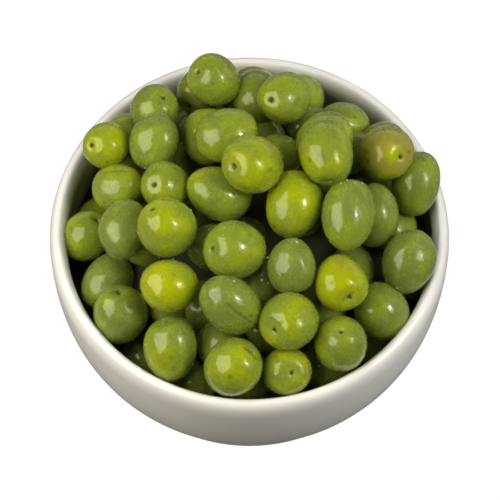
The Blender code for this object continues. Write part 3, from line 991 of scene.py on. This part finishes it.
from_fold = skin_node("ShaderNodeVectorMath", operation="SUBTRACT")
skin_links.new(place_on_skin, from_fold.inputs[0])
skin_links.new(skin_attribute("fold_middle", "Vector"), from_fold.inputs[1])
across_fold = skin_node("ShaderNodeVectorMath", operation="DOT_PRODUCT")
skin_links.new(from_fold.outputs["Vector"], across_fold.inputs[0])
skin_links.new(skin_attribute("fold_way", "Vector"), across_fold.inputs[1])
along_fold = skin_node("ShaderNodeVectorMath", operation="LENGTH")
skin_links.new(from_fold.outputs["Vector"], along_fold.inputs[0])
fold_share = skin_math(
    "DIVIDE", along_fold.outputs["Value"], skin_attribute("fold_reach", "Fac")
)
wavering = skin_math("ADD", across_fold.outputs["Value"], skin_vary(mottle, -0.02, 0.02))
fold_side = skin_math("ABSOLUTE", wavering, 0.0)
fold_here = skin_math(
    "MULTIPLY", skin_range(fold_side, 0.09, 0.0), skin_range(fold_share, 1.0, 0.4)
)
colour = skin_blend(skin_math("MULTIPLY", fold_here, 0.4), colour, SCAR_BROWN)
skin_links.new(colour, skin_shader.inputs["Base Color"])

skin_links.new(skin_vary(mottle, 0.20, 0.32), skin_shader.inputs["Roughness"])
film = skin_noise(1.7, 2.0)
film_roughness = skin_math("ADD", skin_range(film, 0.58, 0.74, 0.015, 0.12), scar_here)
skin_links.new(film_roughness, skin_shader.inputs["Coat Roughness"])
ripple = skin_noise(4.5, 1.0)
skin_height = skin_math("MULTIPLY", ripple, 2.0)
skin_height = skin_math("ADD", skin_height, skin_math("MULTIPLY", mottle, 0.18))
skin_height = skin_math("ADD", skin_height, skin_math("MULTIPLY", grain, 0.03))
skin_height = skin_math("SUBTRACT", skin_height, skin_math("MULTIPLY", fold_here, FOLD_DEPTH))
skin_bump = skin_node("ShaderNodeBump")
skin_bump.inputs["Strength"].default_value = 0.6
skin_bump.inputs["Distance"].default_value = 0.12 * MM
skin_links.new(skin_height, skin_bump.inputs["Height"])
skin_links.new(skin_bump.outputs["Normal"], skin_shader.inputs["Normal"])
skin_links.new(skin_bump.outputs["Normal"], skin_shader.inputs["Coat Normal"])

fine_ball = olive_ball(FINE_TURNS, FINE_RINGS)
coarse_ball = olive_ball(COARSE_TURNS, COARSE_RINGS)
forms = np.array([form_matrix(o.width * MM, o.stretch, long_axis(o)) for o in OLIVES])
middles = settled_middles(forms)
chance = random.Random(SEED)

upper = new_batch()
lower = new_batch()
for place, (olive, middle) in enumerate(zip(OLIVES, middles)):
    is_lower = place < len(LOWER_OLIVES)
    batch = lower if is_lower else upper
    ball = coarse_ball if is_lower else fine_ball
    add_olive(batch, ball, olive, long_axis(olive), middle, chance)
for radius, height, count in DEEP_RINGS:
    for place in range(count):
        bearing = math.tau * (place + DEEP_OFFSET) / count
        outward = np.array([math.cos(bearing), math.sin(bearing), 0.0])
        lean = DEEP_LEAN * (-1) ** place
        axis = np.array([-outward[1], outward[0], lean])
        axis /= np.linalg.norm(axis)
        middle = outward * radius + np.array([0.0, 0.0, height])
        form = form_matrix(DEEP_WIDTH * MM, DEEP_STRETCH, axis)
        if closeness(forms, form, middles - middle).min() > DEEP_ROOM:
            is_in_gap = any(seen_near(middle, *gap) for gap in OPEN_GAPS)
            middle[2] -= GAP_SINK if is_in_gap else DEEP_SINK
            yellow = chance.uniform(*DEEP_YELLOW)
            olive = Olive(0, 0, DEEP_WIDTH, DEEP_STRETCH, 0, 0, 1, yellow)
            add_olive(lower, coarse_ball, olive, axis, middle, chance)
top_olives = finish_batch("olives_on_top", upper, olive_skin)
low_olives = finish_batch("olives_beneath", lower, olive_skin)

# The depth of the heap: the shadowed olives and brine under those that show, as one wet,
# lumpy body that fills the bowl below them. Its near-black colour is painted shade.
CORE_BELOW = 22.0 * MM
CORE_RINGS = 40
CORE_TURNS = 96
CORE_LUMP = 3.0 * MM
CORE_LUMP_SPREAD = 55.0
CORE_PAINTED_SHADE = (0.042, 0.042, 0.020)
CORE_GAP = 0.3 * MM

core_section = []
for step in range(CORE_RINGS + 1):
    radius = HEAP_RADIUS * step / CORE_RINGS
    core_section.append((radius, heap_height(radius) - CORE_BELOW))
for radius, height in bowl_inside(SIDE_STEPS):
    if height < core_section[-1][1]:
        core_section.append((radius - CORE_GAP, height + CORE_GAP))
core_section.append((0.0, BOWL_FLOOR + CORE_GAP))
core_mesh = turned(core_section, CORE_TURNS)
for vertex in core_mesh.verts:
    if math.hypot(vertex.co.x, vertex.co.y) < HEAP_RADIUS and vertex.co.z > HEAP_EDGE - CORE_BELOW:
        vertex.co.z += CORE_LUMP * noise.noise(vertex.co * CORE_LUMP_SPREAD)
depth_finish = bpy.data.materials.new("painted_shade_depth")
depth_finish.use_nodes = True
depth_shader = depth_finish.node_tree.nodes["Principled BSDF"]
# The near-black base colour is painted shade of the olives lying in the heap's depth.
depth_shader.inputs["Base Color"].default_value = (*CORE_PAINTED_SHADE, 1)
depth_shader.inputs["Roughness"].default_value = 0.45
depth_shader.inputs["Specular IOR Level"].default_value = 0.2
core = finish_batch("heap_depth", core_mesh, depth_finish)

# The brine that clings to the skins: clear drops that sit on them, and small beads of it
# where two olives touch, whose pale colour is a painted glint. Each is a flattened ball on
# the skin that shows at a pixel.
Drop = namedtuple("Drop", "column row radius")

CLEAR_DROPS = [
    Drop(138.5, 232.5, 1.00),
    Drop(145.5, 345, 1.10),
    Drop(168, 379, 0.90),
    Drop(98, 246, 0.80),
    Drop(105, 243, 0.50),
    Drop(345, 193, 0.60),
    Drop(409, 286, 0.70),
    Drop(405, 283, 0.55),
    Drop(191, 203, 0.45),
    Drop(309, 271, 0.55),
    Drop(422, 203, 0.45),
    Drop(188, 336, 0.60),
]
PAINTED_GLINT_BEADS = [
    Drop(159, 258, 0.40),
    Drop(173, 259, 0.40),
    Drop(209, 229.5, 0.35),
    Drop(297, 242, 0.45),
    Drop(267.5, 257.5, 0.40),
    Drop(234, 281, 0.45),
    Drop(259, 345, 0.35),
    Drop(193, 364, 0.40),
    Drop(261, 367, 0.35),
    Drop(397, 288, 0.35),
    Drop(362, 183, 0.35),
    Drop(341, 183, 0.40),
    Drop(347, 180, 0.40),
    Drop(262, 275, 0.40),
    Drop(262, 280, 0.55),
    Drop(268, 283, 0.40),
    Drop(319, 366, 0.50),
    Drop(391, 239, 0.35),
    Drop(145, 168, 0.35),
    Drop(191, 210, 0.45),
]
DROP_FLATNESS = 0.5
CLEAR_BRINE = (0.95, 0.97, 0.86)
BEAD_PAINTED_GLINT = (0.62, 0.66, 0.46)

skins = []
corners = []
for piece in (top_olives, low_olives, core):
    first = len(corners)
    corners.extend(vertex.co for vertex in piece.data.vertices)
    skins.extend([first + corner for corner in face.vertices] for face in piece.data.polygons)
seen_surface = BVHTree.FromPolygons(corners, skins)


def on_the_skin(column, row, sizes):
    """A place on the skin that shows at a pixel, with its Z axis out of the skin."""
    place, normal, _, _ = seen_surface.ray_cast(Vector(EYE), Vector(sight_line(column, row)))
    turn = normal.to_track_quat("Z", "Y").to_matrix().to_4x4()
    return Matrix.Translation(place) @ turn @ Matrix.Diagonal((*sizes, 1))


def add_drops(name, drops, finish):
    """Set flattened balls of brine on the skins, as one piece."""
    batch = bmesh.new()
    for drop in drops:
        sizes = np.array([1, 1, DROP_FLATNESS]) * drop.radius * MM
        place = on_the_skin(drop.column, drop.row, sizes)
        bmesh.ops.create_uvsphere(batch, u_segments=16, v_segments=10, radius=1, matrix=place)
    finish_batch(name, batch, finish).visible_shadow = False


clear_brine = bpy.data.materials.new("clear_brine")
clear_brine.use_nodes = True
clear_shader = clear_brine.node_tree.nodes["Principled BSDF"]
clear_shader.inputs["Base Color"].default_value = (*CLEAR_BRINE, 1)
clear_shader.inputs["Roughness"].default_value = 0.0
clear_shader.inputs["IOR"].default_value = 1.34
clear_shader.inputs["Transmission Weight"].default_value = 1.0
# The beads' pale base colour is a painted glint.
painted_glint_brine = bpy.data.materials.new("painted_glint_brine")
painted_glint_brine.use_nodes = True
glint_shader = painted_glint_brine.node_tree.nodes["Principled BSDF"]
glint_shader.inputs["Base Color"].default_value = (*BEAD_PAINTED_GLINT, 1)
glint_shader.inputs["Roughness"].default_value = 0.05
glint_shader.inputs["Coat Weight"].default_value = 1.0
add_drops("brine_drops", CLEAR_DROPS, clear_brine)
add_drops("painted_glint_beads", PAINTED_GLINT_BEADS, painted_glint_brine)

# Two specks of dried chilli from the brine, each a thin torn flake.
CHILLI_FLAKES = [Drop(185.8, 92.5, 0.55), Drop(106.5, 256, 0.40)]
CHILLI_THICKNESS = 0.35
CHILLI_TORN = 0.35
CHILLI_RED = (0.46, 0.035, 0.008)

flakes = bmesh.new()
for flake in CHILLI_FLAKES:
    sizes = np.array([1, 0.7, CHILLI_THICKNESS]) * flake.radius * MM
    place = on_the_skin(flake.column, flake.row, sizes)
    torn = bmesh.ops.create_icosphere(flakes, subdivisions=3, radius=1)["verts"]
    for vertex in torn:
        vertex.co *= 1 + CHILLI_TORN * noise.noise(vertex.co * 1.7 + Vector((flake.column, 0, 0)))
        vertex.co = place @ vertex.co
flake_data = bpy.data.meshes.new("chilli_flakes")
flakes.to_mesh(flake_data)
flakes.free()
flake_finish = bpy.data.materials.new("chilli")
flake_finish.use_nodes = True
flake_shader = flake_finish.node_tree.nodes["Principled BSDF"]
flake_shader.inputs["Base Color"].default_value = (*CHILLI_RED, 1)
flake_shader.inputs["Roughness"].default_value = 0.35
flake_data.materials.append(flake_finish)
chilli = bpy.data.objects.new("chilli_flakes", flake_data)
bpy.context.collection.objects.link(chilli)
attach(chilli, "root")
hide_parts("olives")
